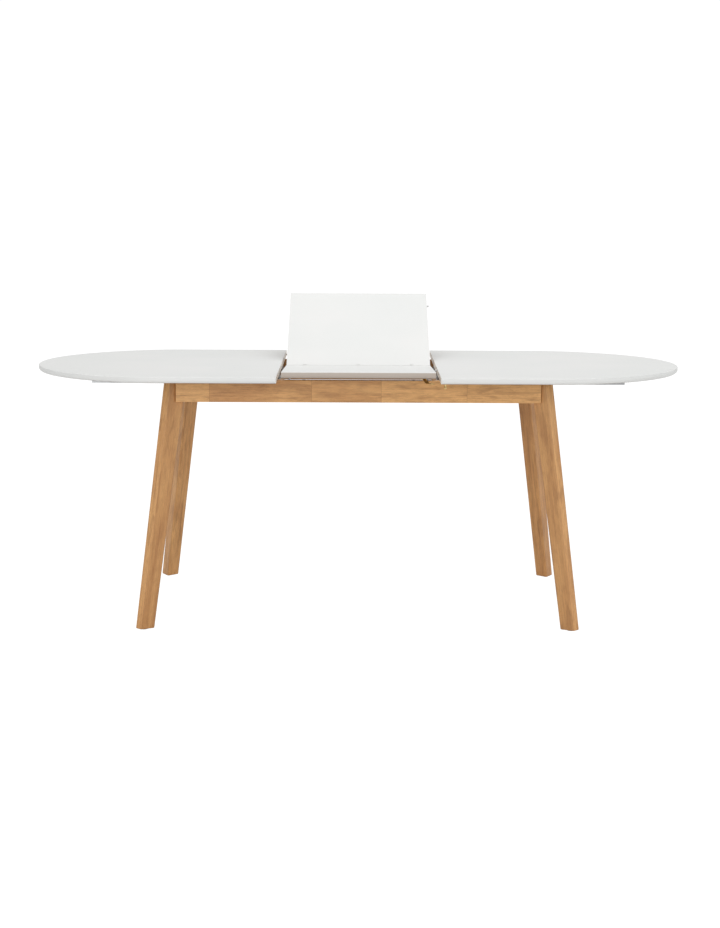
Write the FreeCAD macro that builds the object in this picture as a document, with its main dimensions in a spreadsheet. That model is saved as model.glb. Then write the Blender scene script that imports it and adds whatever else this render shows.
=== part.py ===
"""Extending oval dining table with a folding middle leaf, drawn with the top pulled open
and the leaf part way up.  Millimetres, +X along the table, +Y to the rear, +Z up, origin on
the floor under the middle of the table."""
import FreeCAD, Part
import math
import os
import re
import Sketcher
from FreeCAD import Placement, Rotation, Vector

doc = FreeCAD.newDocument("extending_table")

# Driving sizes: alias, value, meaning.
SIZES = [
    ("top_height", 750.0, "floor to the top surface"),
    ("top_width", 900.0, "front to rear of the top"),
    ("top_half_length", 744.0, "cut face to the tip of one top half"),
    ("top_thick", 18.0, "thickness of the lacquered boards"),
    ("curve_length", 402.0, "length of the curved end of a half"),
    ("shoulder_radius", 300.0, "arc between the straight side and the end arc"),
    ("edge_round", 3.0, "rounding of the upper rim of the top"),
    ("edge_under", 10.0, "large rounding of the lower rim of the top"),
    ("edge_break", 0.8, "broken edges of the aprons and floor glides"),
    ("leaf_width", 444.0, "leaf, left to right"),
    ("leaf_joint", 0.5, "gap between leaf and top half when pushed together"),
    ("pull_travel", 14.5, "travel of each half from closed on the leaf to its stop"),
    ("fold_gap", 0.6, "gap between the two leaf halves when flat"),
    ("hinge_lift", 0.5, "fold axis above the leaf surface"),
    ("fold_rest", 29.2, "fold of the rear half above the plane of the front half, degrees"),
    ("tilt_rest", 3.0, "tilt of the front half, front edge up, degrees"),
    ("pivot_back", 134.0, "leaf pivot axis in front of the middle of the table"),
    ("pivot_below", 12.0, "leaf pivot axis below the underside of the leaf"),
    ("slide_gap", 1.0, "top underside to the frame"),
    ("apron_depth", 65.0, "height of the aprons"),
    ("apron_thick", 20.0, "thickness of the aprons"),
    ("apron_lap", 6.5, "apron end past the leg centre line"),
    ("apron_end_gap", 1.0, "shadow gap between apron end and leg"),
    ("leg_centre_x", 541.0, "leg centre at its top, along the table"),
    ("leg_centre_y", 305.0, "leg centre at its top, across the table"),
    ("leg_splay", 124.0, "outward lean from top to floor, along the diagonal"),
    ("leg_deep", 52.0, "leg section along the diagonal, at the top"),
    ("leg_outer", 31.0, "leg section, width of the outer face at the top"),
    ("leg_inner", 56.0, "leg section, width of the inner face at the top"),
    ("leg_taper", 7.0, "reduction of each section size at the foot"),
    ("leg_round", 5.0, "rounding of the long edges of a leg"),
    ("foot_round", 3.0, "rounding round the foot of a leg"),
    ("glide_radius", 11.0, "floor glide radius"),
    ("glide_thick", 2.5, "floor glide thickness"),
    ("runner_wide", 26.0, "steel runner, overall width"),
    ("runner_deep", 22.0, "steel runner, overall height"),
    ("runner_wall", 2.0, "steel runner, sheet thickness"),
    ("runner_lip", 5.0, "steel runner, inward lips"),
    ("runner_long", 548.0, "steel runner, length"),
    ("runner_inset", 8.0, "runner end behind the cut face"),
    ("runner_offset", 215.0, "runner centre line from the middle of the table"),
    ("runner_drop", 4.0, "runner lips above the rail seat"),
    ("slide_clear", 0.3, "clearance of the nylon glides in the runner"),
    ("rail_stem", 8.0, "guide rail, stem width"),
    ("rail_head", 18.0, "guide rail, head width"),
    ("rail_head_thick", 6.0, "guide rail, head thickness"),
    ("rail_lip_clear", 4.0, "rail head above the runner lips"),
    ("rail_end_gap", 2.0, "guide rail end behind the apron face"),
    ("pad_long", 30.0, "nylon glide, length"),
    ("tab_clear", 1.0, "runner stop tab above the rail head"),
    ("runner_screw_end", 30.0, "last runner screw from the runner's end"),
    ("runner_screw_pitch", 177.0, "distance between runner screws"),
    ("notch_side", 3.0, "side clearance of the runner in the side apron"),
    ("bearer_wide", 35.0, "bearer width, along the table"),
    ("bearer_inset", 3.0, "bearer inner face past the cut face"),
    ("block_thick", 22.0, "corner block thickness"),
    ("block_gap", 14.0, "corner block behind the leg at the top"),
    ("block_low", 5.0, "corner block above the apron lower edge"),
    ("block_clear", 3.0, "corner block below the rail seat"),
    ("bolt_radius", 4.0, "leg bolt radius"),
    ("bolt_fit", 0.3, "radial clearance of bolts and screws in wood"),
    ("bolt_into_leg", 26.0, "leg bolt, length inside the leg"),
    ("bolt_proud", 3.0, "leg bolt past its nut"),
    ("washer_radius", 10.0, "leg bolt washer radius"),
    ("washer_thick", 2.0, "leg bolt washer thickness"),
    ("nut_flat", 13.0, "leg bolt nut across flats"),
    ("nut_high", 6.5, "leg bolt nut height"),
    ("screw_radius", 2.0, "wood screw shank radius"),
    ("screw_head", 4.0, "wood screw head radius"),
    ("screw_head_deep", 2.0, "countersink depth"),
    ("screw_fit", 0.05, "radial clearance of a screw in its pilot hole"),
    ("pilot_deep", 13.0, "screw depth in the boards"),
    ("short_screw", 11.0, "screw depth of the leaf, latch and stud plates"),
    ("frame_screw", 28.0, "screw depth in the frame"),
    ("screw_cover", 6.0, "apron wood left in front of a bearer screw"),
    ("bearer_screw_inset", 12.0, "bearer screws from the bearer's edges"),
    ("tool_past", 1.0, "overshoot of a drill or cutter past the face it goes through"),
    ("plate_thick", 3.0, "leaf pivot plates, steel thickness"),
    ("plate_long", 60.0, "leaf pivot plates, front to rear"),
    ("plate_wide", 34.0, "leaf pivot plate, flange width"),
    ("plate_screw_inset", 10.0, "screws from the ends of the plates and brackets"),
    ("plate_screw_side", 15.0, "leaf plate screws from the ear"),
    ("ear_inset", 11.0, "leaf pivot ear inside the leaf edge"),
    ("ear_long", 30.0, "leaf pivot ear, front to rear"),
    ("ear_margin", 5.0, "leaf pivot ear past its pin"),
    ("pivot_radius", 4.0, "leaf pivot pin radius"),
    ("pin_head_radius", 6.5, "leaf pivot pin, head radius"),
    ("pin_head_thick", 3.0, "leaf pivot pin, head thickness"),
    ("pivot_proud", 2.0, "leaf pivot pin past its clip"),
    ("pivot_fit", 0.05, "radial running clearance of the pivot pin"),
    ("clip_radius", 7.0, "retaining clip radius"),
    ("clip_thick", 1.5, "retaining clip thickness"),
    ("clip_gap", 0.4, "retaining clip off its bracket"),
    ("bracket_high", 49.0, "frame pivot bracket height"),
    ("bracket_rise", 8.0, "frame pivot bracket above the pivot axis"),
    ("bracket_screw_drop", 13.0, "bracket screws below the rail seat"),
    ("align_radius", 3.0, "alignment pin radius"),
    ("align_proud", 6.0, "alignment pin length outside the board"),
    ("align_deep", 12.0, "alignment pin length inside the board"),
    ("align_fit", 0.3, "radial clearance of an alignment hole"),
    ("align_end_gap", 1.0, "alignment hole deeper than its pin"),
    ("align_rear", 380.0, "rear alignment pins behind the middle of the table"),
    ("barrel_radius", 7.0, "leaf hinge barrel radius"),
    ("barrel_long", 22.0, "leaf hinge barrel length"),
    ("link_above", 3.5, "leaf hinge link plate rim above the barrel axis"),
    ("link_thick", 1.8, "leaf hinge link plate thickness"),
    ("link_clear", 0.2, "gap between link plates"),
    ("link_root", 3.0, "link plate root past its disc"),
    ("link_root_low", 1.1, "link plate root below the barrel axis"),
    ("link_root_cover", 0.1, "link plate root below the barrel's end"),
    ("hinge_spread", 165.0, "outer leaf hinges from the middle of the leaf"),
    ("latch_inset", 37.0, "latch pivot inside the leaf's right edge"),
    ("latch_front", 375.0, "latch pivot in front of the middle"),
    ("latch_plate", 24.0, "latch plate, front to rear"),
    ("latch_plate_long", 34.0, "latch plate, left to right"),
    ("latch_base_thick", 1.5, "latch and stud plates, sheet thickness"),
    ("latch_screw_inset", 5.0, "latch and stud screws from the plate ends"),
    ("latch_sheet", 1.8, "latch lever, sheet thickness"),
    ("latch_long", 62.0, "latch lever, pivot to tip"),
    ("latch_wide", 12.0, "latch lever width"),
    ("latch_corner", 4.0, "latch lever corner radius"),
    ("crank_start", 10.0, "latch lever, pivot to the start of its crank"),
    ("crank_end", 30.0, "latch lever, pivot to the end of its crank"),
    ("latch_drop", 15.0, "latch lever tip below the leaf"),
    ("latch_root_drop", 2.6, "latch lever root below the leaf"),
    ("latch_angle", 61.0, "latch lever turned to the front from its locked line, degrees"),
    ("rivet_radius", 2.5, "latch rivet radius"),
    ("rivet_head", 4.5, "latch rivet head radius"),
    ("rivet_head_thick", 1.6, "latch rivet head thickness"),
    ("rivet_gap", 0.4, "latch rivet head off the lever"),
    ("stud_radius", 3.0, "latch stud radius"),
    ("stud_head_radius", 5.0, "latch stud head radius"),
    ("stud_head_thick", 2.0, "latch stud head thickness"),
    ("stud_proud", 3.0, "latch stud past the lever, with its head"),
    ("stud_plate", 32.0, "stud plate, front to rear"),
    ("stud_plate_past", 10.0, "stud plate behind the stud"),
    ("stud_plate_inset", 1.0, "stud plate behind the cut face"),
    ("stud_screw_back", 2.0, "stud plate screws behind the stud"),
    ("stud_back", 15.5, "latch stud behind the cut face"),
    ("stud_fit", 0.5, "clearance of the latch hook round its stud"),
    ("bumper_radius", 6.0, "leaf rest bumper radius"),
    ("bumper_nail", 8.0, "leaf rest bumper nail length"),
    ("bumper_side", 160.0, "leaf rest bumpers from the middle of the table"),
    ("bumper_clear", 0.3, "leaf rest bumpers below the flat leaf"),
]

# Sizes that follow from others.
FOLLOWING = [
    ("pivot_drop", "=top_thick + pivot_below", "leaf pivot axis below the top surface"),
    ("link_radius", "=hinge_lift + top_thick / 2 - link_above", "leaf hinge link plate radius"),
    ("latch_out", "=leaf_width / 2 - latch_inset", "latch pivot right of the middle"),
]

sheet = doc.addObject("Spreadsheet::Sheet", "dims")
for row, (alias, value, meaning) in enumerate(SIZES + FOLLOWING, start=1):
    sheet.set(f"A{row}", meaning)
    sheet.set(f"B{row}", str(value))
    sheet.setAlias(f"B{row}", alias)
doc.recompute()

# Levels and places that several pieces share, written once as formulas of the sizes.
SHARED = {
    "top_under": "(top_height - top_thick)",
    "frame_top": "(top_height - top_thick - slide_gap)",
    "apron_low": "(top_height - top_thick - slide_gap - apron_depth)",
    "runner_low": "(top_height - top_thick - runner_deep)",
    "rail_seat": "(top_height - top_thick - runner_deep - runner_drop)",
    "head_low": "(top_height - top_thick - runner_deep + runner_wall + rail_lip_clear)",
    "cut_face": "(leaf_width / 2 + leaf_joint + pull_travel)",
    "leg_face": "((leg_deep + leg_outer) / 2 / sqrt(2))",
    "apron_face_x": "(leg_centre_x + (leg_deep + leg_outer) / 2 / sqrt(2))",
    "apron_face_y": "(leg_centre_y + (leg_deep + leg_outer) / 2 / sqrt(2))",
    "bearer_face": "(leaf_width / 2 + leaf_joint + pull_travel + bearer_inset)",
    "pivot_level": "(top_height - pivot_drop)",
}
NAMES = {alias: f"dims.{alias}" for alias, value, meaning in SIZES + FOLLOWING}
WORD = re.compile(r"[a-z][a-z_]*")
NEAR = 0.01
START_RADIUS = 50
START_LENGTH = 10.0


def size(alias):
    """A driving size, as a number, for geometry that needs a starting shape."""
    return float(sheet.get(alias))


def formula(text):
    """Spell out shared levels, then point every size at its cell in the sheet."""
    spelled = WORD.sub(lambda word: SHARED.get(word.group(), word.group()), str(text))
    return WORD.sub(lambda word: NAMES.get(word.group(), word.group()), spelled)


def bind(obj, **sizes):
    """Tie properties of an object to formulas of the driving sizes."""
    for name, text in sizes.items():
        obj.setExpression(name, formula(text))
    return obj


def place(obj, x=0, y=0, z=0, axis=None, angle=0):
    """Place an object, turned by an angle about an axis through its own origin."""
    if axis is not None:
        obj.Placement = Placement(Vector(0, 0, 0), Rotation(Vector(*axis), 1))
        obj.setExpression("Placement.Rotation.Angle", formula(angle))
    for name, text in (("x", x), ("y", y), ("z", z)):
        obj.setExpression(f"Placement.Base.{name}", formula(text))
    return obj


def box(length, width, high, x, y, z):
    """A block from its low corner."""
    block = bind(doc.addObject("Part::Box", "block"), Length=length, Width=width, Height=high)
    return place(block, x, y, z)


def rod(radius, high, x, y, z, axis=None, angle=0):
    """A cylinder from its start, along +Z unless it is turned."""
    bar = bind(doc.addObject("Part::Cylinder", "rod"), Radius=radius, Height=high)
    return place(bar, x, y, z, axis, angle)


def cone(low_radius, high_radius, high, x, y, z, axis=None, angle=0):
    """A cone along +Z unless it is turned, from its low radius to its high radius."""
    shape = doc.addObject("Part::Cone", "cone")
    bind(shape, Radius1=low_radius, Radius2=high_radius, Height=high)
    return place(shape, x, y, z, axis, angle)


def fuse(pieces):
    """Pieces welded into one solid."""
    joined = doc.addObject("Part::MultiFuse", "fuse")
    joined.Shapes = pieces
    joined.Refine = True
    return joined


def cut(base, tools):
    """The base with every tool taken out of it."""
    result = doc.addObject("Part::Cut", "cut")
    result.Base = base
    result.Tool = tools[0] if len(tools) == 1 else fuse(tools)
    return result


def group(pieces):
    """Identical small pieces that share one node and stay separate solids."""
    together = doc.addObject("Part::Compound", "group")
    together.Links = pieces
    return together


nodes = {}


def node(name, obj):
    """Give a finished sub-part its label, which also names its file."""
    obj.Label = name
    nodes[name] = obj
    return obj


def new_body(name):
    return doc.addObject("PartDesign::Body", name)


def new_sketch(body, plane="XY_Plane", lift="0"):
    """A sketch on one of the body's own origin planes, moved along the plane's normal."""
    sketch = body.newObject("Sketcher::SketchObject", "sketch")
    support = [item for item in body.Origin.OriginFeatures if item.Role == plane][0]
    sketch.AttachmentSupport = (support, [""])
    sketch.MapMode = "FlatFace"
    sketch.setExpression("AttachmentOffset.Base.z", formula(lift))
    return sketch


def polygon(sketch, corners):
    """A closed outline whose corners are held at (x, y) formulas from the origin.

    It starts as a regular polygon, which the constraints then pull to its real corners."""
    count = len(corners)
    turn = 2 * math.pi / count
    start = [Vector(math.cos(turn * n), math.sin(turn * n), 0) * START_RADIUS for n in range(count)]
    first = sketch.GeometryCount
    for n in range(count):
        sketch.addGeometry(Part.LineSegment(start[n], start[(n + 1) % count]), False)
    for n in range(count):
        sketch.addConstraint(Sketcher.Constraint("Coincident", first + n, 2, first + (n + 1) % count, 1))
    for n, corner in enumerate(corners):
        for kind, text in zip(("DistanceX", "DistanceY"), corner):
            held = sketch.addConstraint(Sketcher.Constraint(kind, -1, 1, first + n, 1, START_LENGTH))
            sketch.setExpression(f"Constraints[{held}]", formula(text))


def pad(body, sketch, length, midplane=False):
    feature = body.newObject("PartDesign::Pad", "pad")
    feature.Profile = sketch
    feature.Midplane = midplane
    return bind(feature, Length=length)


def pocket(body, sketch, length, reverse=False, midplane=False):
    feature = body.newObject("PartDesign::Pocket", "pocket")
    feature.Profile = sketch
    feature.Reversed = reverse
    feature.Midplane = midplane
    return bind(feature, Length=length)


def edges_where(feature, test):
    """Names of the edges whose quarter points all pass a test."""
    found = []
    for number, edge in enumerate(feature.Shape.Edges, start=1):
        start = edge.FirstParameter
        span = edge.LastParameter - start
        if all(test(edge.valueAt(start + span * share)) for share in (0.25, 0.5, 0.75)):
            found.append(f"Edge{number}")
    return found


def round_edges(body, base, test, radius):
    """Fillet the edges that pass a test."""
    doc.recompute()
    feature = body.newObject("PartDesign::Fillet", "edge")
    feature.Base = (base, edges_where(base, test))
    return bind(feature, Radius=radius)


def half_outline(sketch):
    """Half an oval: cut face on the Y axis, straight sides, shoulder arcs and one end arc."""
    length, half_width = size("top_half_length"), size("top_width") / 2
    radius, curve = size("shoulder_radius"), size("curve_length")
    rise = half_width - radius
    end_radius = (radius ** 2 - curve ** 2 - rise ** 2) / (2 * (radius - curve))
    end_centre, shoulder_x = length - end_radius, length - curve
    meet = math.atan2(rise, shoulder_x - end_centre)
    corners = [Vector(0, -half_width, 0), Vector(shoulder_x, -half_width, 0)]
    corners += [Vector(shoulder_x, half_width, 0), Vector(0, half_width, 0)]
    up = Vector(0, 0, 1)
    sketch.addGeometry(Part.LineSegment(corners[3], corners[0]), False)
    sketch.addGeometry(Part.LineSegment(corners[0], corners[1]), False)
    low = Part.Circle(Vector(shoulder_x, -rise, 0), up, radius)
    sketch.addGeometry(Part.ArcOfCircle(low, -math.pi / 2, -meet), False)
    end = Part.Circle(Vector(end_centre, 0, 0), up, end_radius)
    sketch.addGeometry(Part.ArcOfCircle(end, -meet, meet), False)
    high = Part.Circle(Vector(shoulder_x, rise, 0), up, radius)
    sketch.addGeometry(Part.ArcOfCircle(high, meet, math.pi / 2), False)
    sketch.addGeometry(Part.LineSegment(corners[2], corners[3]), False)
    face, side_low, arc_low, arc_end, arc_high, side_high = range(6)
    hold = Sketcher.Constraint
    sketch.addConstraint([
        hold("Coincident", face, 2, side_low, 1),
        hold("Coincident", side_high, 2, face, 1),
        hold("Vertical", face),
        hold("Horizontal", side_low),
        hold("Horizontal", side_high),
        hold("Tangent", side_low, 2, arc_low, 1),
        hold("Tangent", arc_low, 2, arc_end, 1),
        hold("Tangent", arc_end, 2, arc_high, 1),
        hold("Tangent", arc_high, 2, side_high, 1),
        hold("PointOnObject", arc_end, 3, -1),
        hold("Symmetric", face, 1, face, 2, -1, 1),
        hold("Equal", arc_low, arc_high),
    ])
    spans = [
        (hold("DistanceY", face, 2, face, 1, 2 * half_width), "top_width"),
        (hold("DistanceX", face, 1, side_high, 1, shoulder_x), "top_half_length - curve_length"),
        (hold("Radius", arc_low, radius), "shoulder_radius"),
    ]
    for rule, text in spans:
        held = sketch.addConstraint(rule)
        sketch.setExpression(f"Constraints[{held}]", formula(text))
    end_hold = sketch.addConstraint(hold("Radius", arc_end, end_radius))
    radius_text = (
        "(shoulder_radius ^ 2 - curve_length ^ 2 - (top_width / 2 - shoulder_radius) ^ 2)"
        " / (2 * (shoulder_radius - curve_length))"
    )
    sketch.setExpression(f"Constraints[{end_hold}]", formula(radius_text))


# ---------------------------------------------------------------- fasteners
UP, OVER_X, OVER_Y = (0, 0, 1), (1, 0, 0), (0, 1, 0)


def upward_screw(x, y, head_level, head_deep, deep, extra="0"):
    """A countersunk screw driven up from below: head underneath, shank in the board."""
    head = cone(f"screw_head + {extra}", f"screw_radius + {extra}", head_deep, x, y, head_level)
    shank = rod(f"screw_radius + {extra}", deep, x, y, f"{head_level} + ({head_deep})")
    return fuse([head, shank])


def downward_screw(x, y, head_level, head_deep, deep, extra="0"):
    """A countersunk screw driven down from above."""
    low = f"{head_level} - ({head_deep})"
    head = cone(f"screw_radius + {extra}", f"screw_head + {extra}", head_deep, x, y, low)
    shank = rod(f"screw_radius + {extra}", deep, x, y, f"{low} - ({deep})")
    return fuse([head, shank])


# ---------------------------------------------------------------- legs
CORNERS = {
    "front_left": (-1, -1, 225),
    "front_right": (1, -1, 315),
    "rear_left": (-1, 1, 135),
    "rear_right": (1, 1, 45),
}
LEG_LOW = "glide_thick"


def stand_at_corner(obj, side, depth, angle):
    """Leg pieces are drawn with +X pointing out along the diagonal."""
    return place(obj, f"{side} * leg_centre_x", f"{depth} * leg_centre_y", 0, UP, angle)


def leg_section(sketch, centre, less):
    """The leg's cross section: a narrow outer face, a wider inner face."""
    deep, outer, inner = [f"({face} - {less}) / 2" for face in ("leg_deep", "leg_outer", "leg_inner")]
    polygon(sketch, [
        (f"{centre} - {deep}", f"0 - {inner}"),
        (f"{centre} + {deep}", f"0 - {outer}"),
        (f"{centre} + {deep}", outer),
        (f"{centre} - {deep}", inner),
    ])


def rebate_prism(body, mirror):
    """Cut the room for one apron end: a square corner, drawn from above, down to the apron edge."""
    half = "sqrt(0.5)"
    along, across = "(apron_end_gap - apron_lap)", "(leg_face - apron_thick)"
    reach = "(3 * leg_deep)"
    plan = [(along, across), (along, f"({across} + {reach})"),
            (f"({along} - {reach})", f"({across} + {reach})"), (f"({along} - {reach})", across)]
    sketch = new_sketch(body, lift="frame_top")
    polygon(sketch, [(f"({a} + {b}) * {half}", f"{mirror} * ({b} - {a}) * {half}") for a, b in plan])
    return pocket(body, sketch, "apron_depth")


def make_leg(name, side, depth, angle):
    """A tapered leg that leans out from frame to floor, cut away for the two apron ends."""
    body = new_body(name)
    foot = new_sketch(body, lift=LEG_LOW)
    head = new_sketch(body, lift="frame_top")
    leg_section(foot, "leg_splay", "leg_taper")
    leg_section(head, "0", "0")
    loft = body.newObject("PartDesign::AdditiveLoft", "loft")
    loft.Profile = head
    loft.Sections = [foot]
    loft.Ruled = True
    low = size("glide_thick")
    doc.recompute()
    middle = loft.Shape.BoundBox.ZLength / 2
    between = [f"Edge{n}" for n, edge in enumerate(loft.Shape.Edges, start=1)
               if edge.BoundBox.ZLength > middle]
    long_edges = body.newObject("PartDesign::Fillet", "long_edges")
    long_edges.Base = (loft, between)
    bind(long_edges, Radius="leg_round")
    round_edges(body, long_edges, lambda point: abs(point.z - low) < NEAR, "foot_round")
    for mirror in (1, -1):
        rebate_prism(body, mirror)
    drilled = cut(body, [bolt_hole("bolt_radius + screw_fit"), glide_pin("screw_fit")])
    return node(name, stand_at_corner(drilled, side, depth, angle))


BOLT_LEVEL = "((apron_low + block_low + rail_seat - block_clear) / 2)"
BLOCK_FACE = "(0 - leg_deep / 2 - block_gap)"
BOLT_START = f"({BLOCK_FACE} - block_thick - washer_thick - nut_high - bolt_proud)"
BOLT_REACH = f"({BLOCK_FACE} + block_gap + bolt_into_leg)"


def bolt_hole(radius):
    """The leg bolt's straight run, from behind the corner block into the leg."""
    return rod(radius, f"{BOLT_REACH} - {BOLT_START}", BOLT_START, 0, BOLT_LEVEL, OVER_Y, 90)


def make_bolt(side, depth, angle):
    """A bolt with its washer and nut, through the corner block into the leg."""
    bolt = group([bolt_hole("bolt_radius")])
    washer_at = f"{BLOCK_FACE} - block_thick - washer_thick"
    washer = cut(rod("washer_radius", "washer_thick", washer_at, 0, BOLT_LEVEL, OVER_Y, 90),
                 [bolt_hole("bolt_radius + screw_fit")])
    blank = doc.addObject("Part::Prism", "nut")
    blank.Polygon = 6
    bind(blank, Circumradius="nut_flat / sqrt(3)", Height="nut_high")
    place(blank, f"{washer_at} - nut_high", 0, BOLT_LEVEL, OVER_Y, 90)
    nut = cut(blank, [bolt_hole("bolt_radius + screw_fit")])
    parts = {"leg_bolts": bolt, "leg_washers": washer, "leg_nuts": nut}
    return {label: stand_at_corner(item, side, depth, angle) for label, item in parts.items()}


def make_corner_block(name, side, depth, angle):
    """A block across the corner, its ends flat against both aprons."""
    body = new_body(name)
    sketch = new_sketch(body, lift="apron_low + block_low")
    face = "((leg_face - apron_thick) * sqrt(2))"
    far = f"({BLOCK_FACE} - block_thick)"
    polygon(sketch, [
        (BLOCK_FACE, f"0 - ({face} - {BLOCK_FACE})"),
        (BLOCK_FACE, f"{face} - {BLOCK_FACE}"),
        (far, f"{face} - {far}"),
        (far, f"0 - ({face} - {far})"),
    ])
    pad(body, sketch, "rail_seat - block_clear - apron_low - block_low")
    drilled = cut(body, [bolt_hole("bolt_radius + bolt_fit")])
    return node(name, stand_at_corner(drilled, side, depth, angle))


def glide_pin(extra="0"):
    """The nail of a floor glide, up into the foot."""
    return rod(f"screw_radius + {extra}", "pilot_deep + glide_thick", "leg_splay", 0, 0)


def make_floor_glide(side, depth, angle):
    """A nylon button under the foot, held by its nail."""
    disc = cone("glide_radius - edge_break", "glide_radius", "glide_thick", "leg_splay", 0, 0)
    return stand_at_corner(fuse([disc, glide_pin()]), side, depth, angle)


bolts = []
glides = []
for corner, (side, depth, angle) in CORNERS.items():
    make_leg(f"leg_{corner}", side, depth, angle)
    make_corner_block(f"corner_block_{corner}", side, depth, angle)
    glides.append(make_floor_glide(side, depth, angle))
    bolts.append(make_bolt(side, depth, angle))
node("floor_glides", group(glides))
for label in ("leg_bolts", "leg_washers", "leg_nuts"):
    node(label, group([made[label] for made in bolts]))

# ---------------------------------------------------------------- aprons and bearers
APRON_HALF_X = "(leg_centre_x - apron_lap)"
APRON_HALF_Y = "(leg_centre_y - apron_lap)"
BEARER_MID = "(bearer_face + bearer_wide / 2)"
SIDES = (-1, 1)


def apron_screw(side, depth, level, extra="0"):
    """A headless screw hidden in the joint: from the bearer end into the apron."""
    joint = "(apron_face_y - apron_thick)"
    into_apron = "(apron_thick - screw_cover)"
    start = f"{joint} - frame_screw" if depth > 0 else f"0 - {joint} - {into_apron}"
    return rod(f"screw_radius + {extra}", f"frame_screw + {into_apron}", f"{side} * {BEARER_MID}",
               start, level, OVER_X, -90)


BEARER_SCREW_LEVELS = ("(apron_low + bearer_screw_inset)", "(rail_seat - bearer_screw_inset)")


def bearer_screws(extra="0", depths=SIDES, sides=SIDES):
    """Two screws in each end of each bearer."""
    return [apron_screw(side, depth, level, extra)
            for side in sides for depth in depths for level in BEARER_SCREW_LEVELS]


def make_long_apron(name, depth):
    """The front or rear apron, a straight board between two legs."""
    body = new_body(name)
    sketch = new_sketch(body, lift="apron_low")
    near = f"{depth} * (apron_face_y - apron_thick)"
    far = f"{depth} * apron_face_y"
    polygon(sketch, [(f"0 - {APRON_HALF_X}", near), (APRON_HALF_X, near), (APRON_HALF_X, far),
                     (f"0 - {APRON_HALF_X}", far)])
    board = pad(body, sketch, "apron_depth")
    outside = depth * (size("leg_centre_y") + (size("leg_deep") + size("leg_outer")) / 2 / math.sqrt(2))
    round_edges(body, board, lambda point: abs(point.y - outside) < NEAR, "edge_break")
    holes = bearer_screws("screw_fit", depths=(depth,))
    holes += bumpers("screw_fit", depths=(depth,), nail_only=True)
    return node(name, cut(body, holes))


def make_side_apron(name, side):
    """The short apron, notched from above for the two runners and the rails under them."""
    body = new_body(name)
    sketch = new_sketch(body, "YZ_Plane", lift=f"{side} * (apron_face_x - apron_thick / 2)")
    half = "(runner_wide / 2 + notch_side)"
    outline = [(f"0 - {APRON_HALF_Y}", "apron_low"), (APRON_HALF_Y, "apron_low"), (APRON_HALF_Y, "frame_top")]
    outline += [(f"runner_offset + {half}", "frame_top"), (f"runner_offset + {half}", "rail_seat")]
    outline += [(f"runner_offset - {half}", "rail_seat"), (f"runner_offset - {half}", "frame_top")]
    outline += [(f"{half} - runner_offset", "frame_top"), (f"{half} - runner_offset", "rail_seat")]
    outline += [(f"0 - runner_offset - {half}", "rail_seat"), (f"0 - runner_offset - {half}", "frame_top")]
    outline += [(f"0 - {APRON_HALF_Y}", "frame_top")]
    polygon(sketch, outline)
    pad(body, sketch, "apron_thick", midplane=True)
    holes = [rail_screw(side, depth, "apron_face_x - apron_thick / 2", "screw_fit") for depth in SIDES]
    return node(name, cut(body, holes))


def make_bearer(name, side):
    """A cross rail under the runners, from the front apron to the rear apron."""
    body = new_body(name)
    sketch = new_sketch(body, lift="apron_low")
    near, far = f"{side} * bearer_face", f"{side} * (bearer_face + bearer_wide)"
    reach = "(apron_face_y - apron_thick)"
    polygon(sketch, [(near, f"0 - {reach}"), (far, f"0 - {reach}"), (far, reach), (near, reach)])
    pad(body, sketch, "rail_seat - apron_low")
    holes = [rail_screw(side, depth, BEARER_MID, "screw_fit") for depth in SIDES]
    holes += bearer_screws("screw_fit", sides=(side,)) + bracket_screws(side, "screw_fit")
    return node(name, cut(body, holes))


# ---------------------------------------------------------------- guide rails
RAIL_START = "bearer_face"
RAIL_END = "(apron_face_x - rail_end_gap)"


def rail_screw(side, depth, along, extra="0"):
    """A countersunk screw down through the rail into the wood under it."""
    through = "(head_low + rail_head_thick - rail_seat - screw_head_deep)"
    return downward_screw(f"{side} * ({along})", f"{depth} * runner_offset", "head_low + rail_head_thick",
                          "screw_head_deep", f"{through} + frame_screw", extra)


def make_rail(name, side, depth):
    """A T-shaped steel rail: the stem stands on the frame, the head runs inside the runner."""
    body = new_body(name)
    sketch = new_sketch(body, "YZ_Plane", lift=f"{side} * ({RAIL_START} + {RAIL_END}) / 2")
    middle = f"{depth} * runner_offset"
    stem, head = "rail_stem / 2", "rail_head / 2"
    top = "(head_low + rail_head_thick)"
    polygon(sketch, [
        (f"{middle} - {stem}", "rail_seat"), (f"{middle} + {stem}", "rail_seat"),
        (f"{middle} + {stem}", "head_low"), (f"{middle} + {head}", "head_low"),
        (f"{middle} + {head}", top), (f"{middle} - {head}", top),
        (f"{middle} - {head}", "head_low"), (f"{middle} - {stem}", "head_low"),
    ])
    pad(body, sketch, f"{RAIL_END} - {RAIL_START}", midplane=True)
    places = (BEARER_MID, "apron_face_x - apron_thick / 2")
    return node(name, cut(body, [rail_screw(side, depth, along, "screw_fit") for along in places]))


def slide_pad(side, depth, start):
    """A nylon glide on the rail head, a sliding fit in the runner."""
    wide = "(runner_wide - 2 * runner_wall - 2 * slide_clear)"
    high = "(top_under - runner_wall - slide_clear - head_low - rail_head_thick)"
    low = start if side > 0 else f"0 - ({start}) - pad_long"
    return box("pad_long", wide, high, low, f"{depth} * runner_offset - {wide} / 2",
               "head_low + rail_head_thick")


# ---------------------------------------------------------------- runners
STOP_TAB = "runner_wall"
PAD_START = f"(cut_face + runner_inset + {STOP_TAB} + slide_clear)"
RUNNER_SCREWS = [f"runner_inset + runner_long - runner_screw_end - {n} * runner_screw_pitch"
                 for n in range(3)]


def runner_screw(side, depth, along, extra="0"):
    """A flat screw from inside the runner up into the top."""
    return upward_screw(f"{side} * (cut_face + {along})", f"{depth} * runner_offset",
                        "top_under - runner_wall", "runner_wall", "pilot_deep", extra)


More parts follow.
